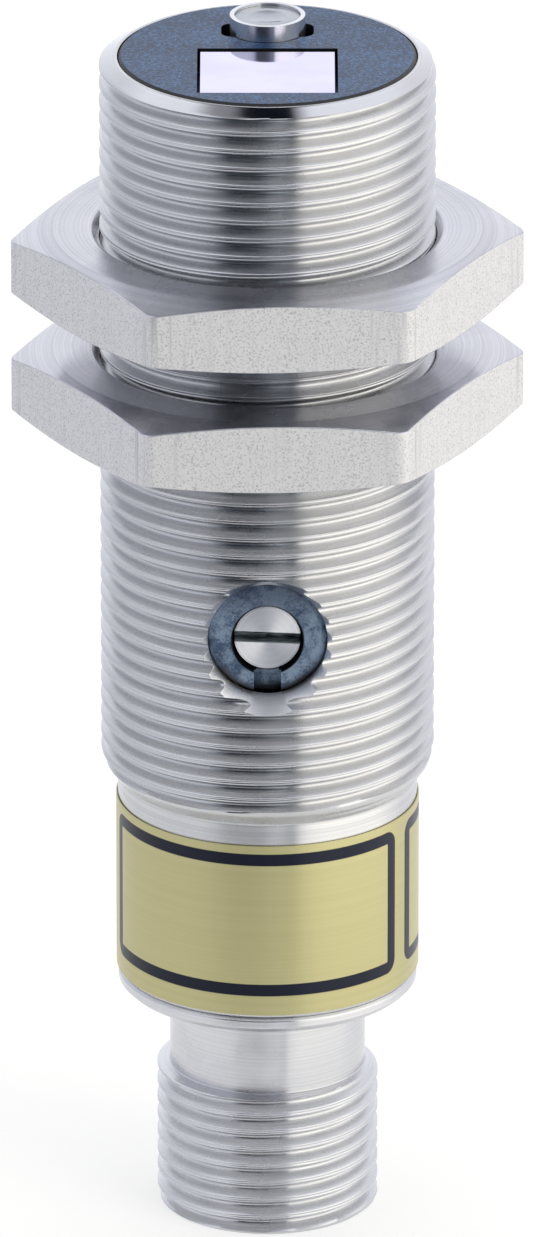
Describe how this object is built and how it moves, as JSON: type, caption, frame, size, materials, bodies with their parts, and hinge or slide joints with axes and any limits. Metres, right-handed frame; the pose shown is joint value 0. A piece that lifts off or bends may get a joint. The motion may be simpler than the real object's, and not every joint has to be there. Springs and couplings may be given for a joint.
{
  "type": "laser photoelectric sensor",
  "caption": "Threaded cylindrical laser sensor with hexagon lock nuts, a recessed adjusting screw, a window and laser tube in its face and a plug end.",
  "frame": {"origin": "centre of the plug's end face, on the sensor's axis", "axes": "+Z along the axis towards the sensing face, -Y out of the adjusting screw, +X to its right"},
  "size_m": [0.0276, 0.0248, 0.0669],
  "materials": {
    "sleeve_steel": "fine turned stainless steel",
    "nut_steel": "turned faces, grainy matt flats",
    "shell_steel": "fine turned",
    "tube_steel": "fine turned",
    "screw_steel": "faced end, dark slot",
    "cap_plastic": "matt blue-black, fine grain",
    "ring_plastic": "satin blue-black",
    "inner_plastic": "matt black",
    "window_pane": "glossy pale lavender",
    "lens_glass": "clear, polished",
    "label_foil": "satin straw yellow with dark blue frames",
    "board_laminate": "green laminate",
    "chip_plastic": "matt black",
    "trimmer_plastic": "blue moulding",
    "can_aluminium": "plain cans",
    "gilt_metal": "gilt",
    "seal_rubber": "black"
  },
  "bodies": {
    "sensor": {"housing_sleeve": "sleeve_steel", "front_cap": "cap_plastic", "cap_seal": "seal_rubber", "receiver_window": "window_pane", "receiver_lens": "lens_glass", "laser_tube": "tube_steel", "collimator_lens": "lens_glass", "laser_diode": "gilt_metal", "optics_holder": "inner_plastic", "photodiode": "chip_plastic", "circuit_board": "board_laminate", "controller_chip": "chip_plastic", "driver_chip": "chip_plastic", "capacitors": "can_aluminium", "trimmer": "trimmer_plastic", "screw_ring": "ring_plastic", "label_band": "label_foil", "connector_shell": "shell_steel", "shell_seal": "seal_rubber", "contact_carrier": "inner_plastic", "coding_key": "inner_plastic", "carrier_seal": "seal_rubber", "contact_pins": "gilt_metal"},
    "screw": {"adjusting_screw": "screw_steel", "screw_seal": "seal_rubber"},
    "front_lock_nut": {"front_nut": "nut_steel"},
    "rear_lock_nut": {"rear_nut": "nut_steel"}
  },
  "joints": [
    {"name": "adjusting_screw_turn", "type": "hinge", "parent": "sensor", "child": "screw", "pos_m": [0, -0.006, 0.0355], "axis": [0, -1, 0], "range_deg": [-135, 135]},
    {"name": "front_nut_travel", "type": "slide", "parent": "sensor", "child": "front_lock_nut", "axis": [0, 0, 1], "range_m": [0, 0.0093]},
    {"name": "rear_nut_travel", "type": "slide", "parent": "sensor", "child": "rear_lock_nut", "axis": [0, 0, 1], "range_m": [-0.019, 0]}
  ]
}
